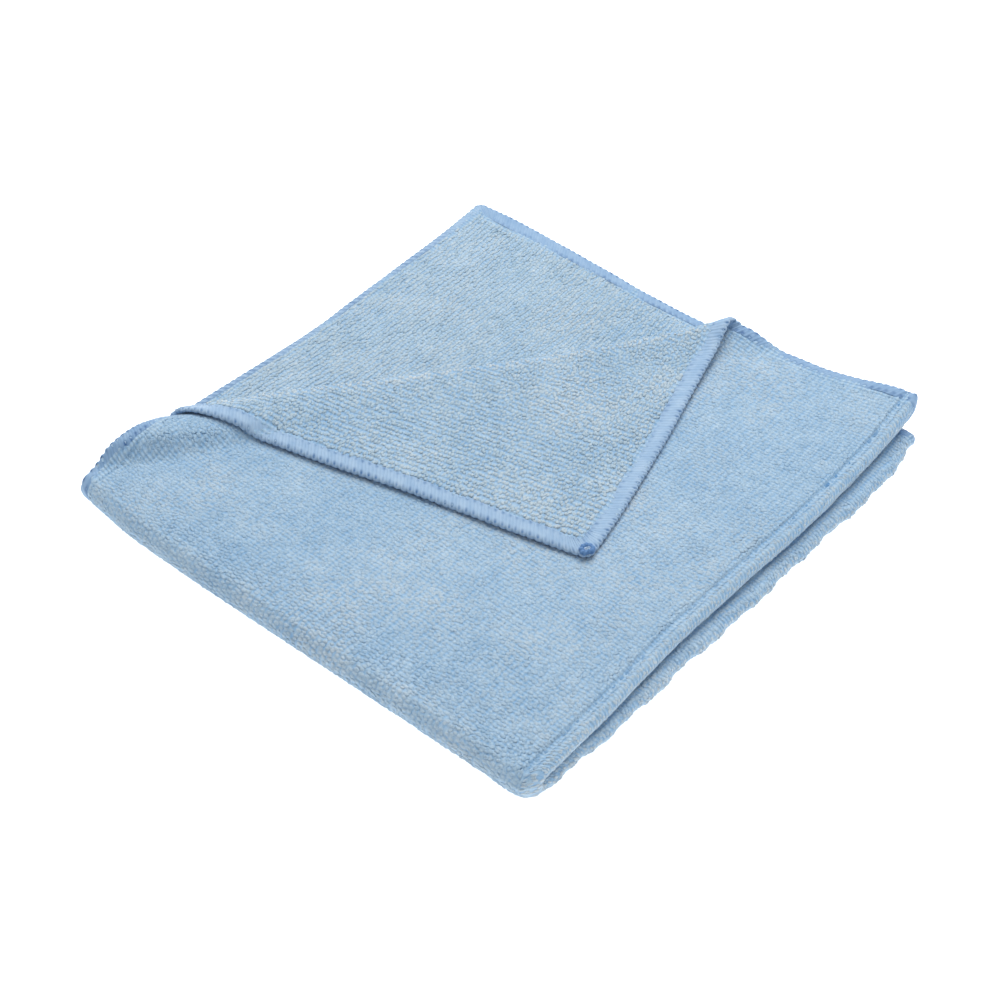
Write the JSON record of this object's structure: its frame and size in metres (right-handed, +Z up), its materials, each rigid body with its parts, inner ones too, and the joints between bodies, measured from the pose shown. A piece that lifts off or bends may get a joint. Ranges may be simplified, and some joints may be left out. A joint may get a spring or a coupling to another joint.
{
  "type": "microfibre cloth",
  "caption": "Square terry microfibre cleaning cloth with an overlocked hem, folded in quarters with the top layer's back corner turned back.",
  "frame": {"origin": "middle of the footprint, on the surface that the folded cloth lies on", "axes": "+Z up, through the layers; +Y towards the open back hems; +X towards the folded right side"},
  "size_m": [0.2108, 0.222, 0.0198],
  "materials": {
    "cloth": "matte terry pile"
  },
  "bodies": {
    "root": {"cloth": "cloth"}
  },
  "joints": []
}
